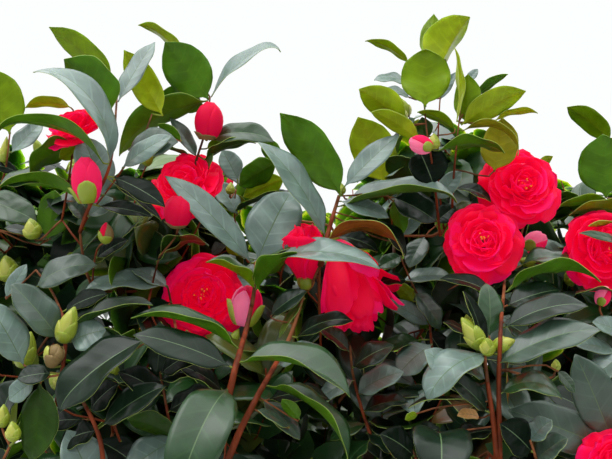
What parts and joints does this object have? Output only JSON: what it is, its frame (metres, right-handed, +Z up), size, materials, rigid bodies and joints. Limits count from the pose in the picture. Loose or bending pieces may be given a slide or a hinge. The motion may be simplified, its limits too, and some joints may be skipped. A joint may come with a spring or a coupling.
{
  "type": "camellia shrub",
  "caption": "Rounded evergreen garden shrub in bloom: a short flared trunk forks into boughs and side limbs that carry separate masses of glossy foliage.",
  "frame": {"origin": "centre of the flat cut at ground level under the trunk", "axes": "+Z up along the plant's height, -Y towards the side that the picture shows, +X to the right of that view"},
  "size_m": [1.24, 1.108, 1.545],
  "materials": {
    "bark": "smooth grey-brown bark, matte",
    "foliage": "glossy dark green leaves with paler, satin undersides",
    "blossom": "satin red petals"
  },
  "bodies": {
    "root": {"trunk": "bark", "bough_top_left": "bark", "bough_top_right": "bark", "bough_shoulder_left": "bark", "bough_shoulder_right": "bark", "bough_back_left": "bark", "limb_back_right": "bark", "limb_front_left": "bark", "limb_front_right": "bark", "limb_front_centre": "bark", "limb_middle_front": "bark", "limb_middle_front_right": "bark", "limb_middle_back_right": "bark", "limb_middle_back": "bark", "limb_middle_back_left": "bark", "limb_middle_front_left": "bark", "limb_skirt_front_right": "bark", "limb_skirt_right": "bark", "limb_skirt_back": "bark", "limb_skirt_left": "bark", "limb_skirt_front_left": "bark", "foliage_top_left": "foliage", "foliage_top_right": "foliage", "foliage_front_left": "foliage", "foliage_front_right": "foliage", "foliage_front_centre": "foliage", "foliage_shoulder_left": "foliage", "foliage_shoulder_right": "foliage", "foliage_back_left": "foliage", "foliage_back_right": "foliage", "foliage_middle_front": "foliage", "foliage_middle_front_right": "foliage", "foliage_middle_back_right": "foliage", "foliage_middle_back": "foliage", "foliage_middle_back_left": "foliage", "foliage_middle_front_left": "foliage", "foliage_skirt_front_right": "foliage", "foliage_skirt_right": "foliage", "foliage_skirt_back": "foliage", "foliage_skirt_left": "foliage", "foliage_skirt_front_left": "foliage"}
  },
  "joints": []
}
